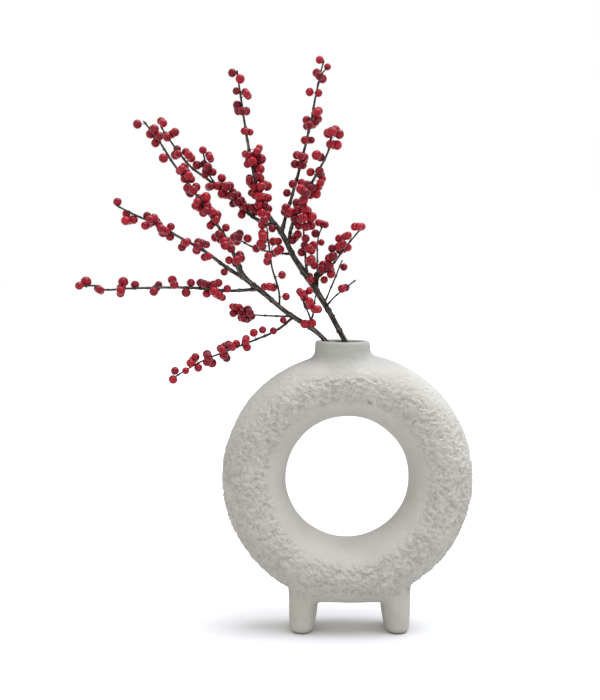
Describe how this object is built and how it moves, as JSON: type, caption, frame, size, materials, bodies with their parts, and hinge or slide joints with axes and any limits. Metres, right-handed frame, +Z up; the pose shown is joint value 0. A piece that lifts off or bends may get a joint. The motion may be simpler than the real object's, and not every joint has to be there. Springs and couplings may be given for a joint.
{
  "type": "holly branch in vase",
  "caption": "Cut winterberry branches with red berries standing in a ring-shaped stoneware vase on stubby feet, a shelf or table decoration",
  "frame": {"origin": "on the surface that the vase stands on, under the middle of the whole arrangement's bounding box", "axes": "+Z up and the longest extent, +X to the right along the vase's ring, -Y the front, so Y is the shortest extent"},
  "size_m": [0.3932, 0.1298, 0.5972],
  "materials": {
    "stoneware": "matte, unglazed, wrinkled relief on the ring, off-white",
    "bark": "dark grey-brown bark with lighter lengthwise streaks",
    "berry": "satin red berry skin on thin dark twigs"
  },
  "bodies": {
    "root": {"vase": "stoneware", "left_stem": "bark", "right_stem": "bark", "spray_low_left": "berry", "spray_short_left": "berry", "spray_thin_upright": "berry", "spray_level_left": "berry", "spray_sloping_left": "berry", "spray_upper_left_front": "berry", "spray_between_stems": "berry", "spray_upper_left_back": "berry", "spray_top_middle": "berry", "spray_top_right": "berry", "spray_right_fork": "berry", "spray_inner_upright": "berry", "spray_back_upright": "berry", "spray_outer_right": "berry", "spray_bare_twig_high": "berry", "spray_bare_twig_low": "berry", "spray_backward_left": "berry"}
  },
  "joints": []
}
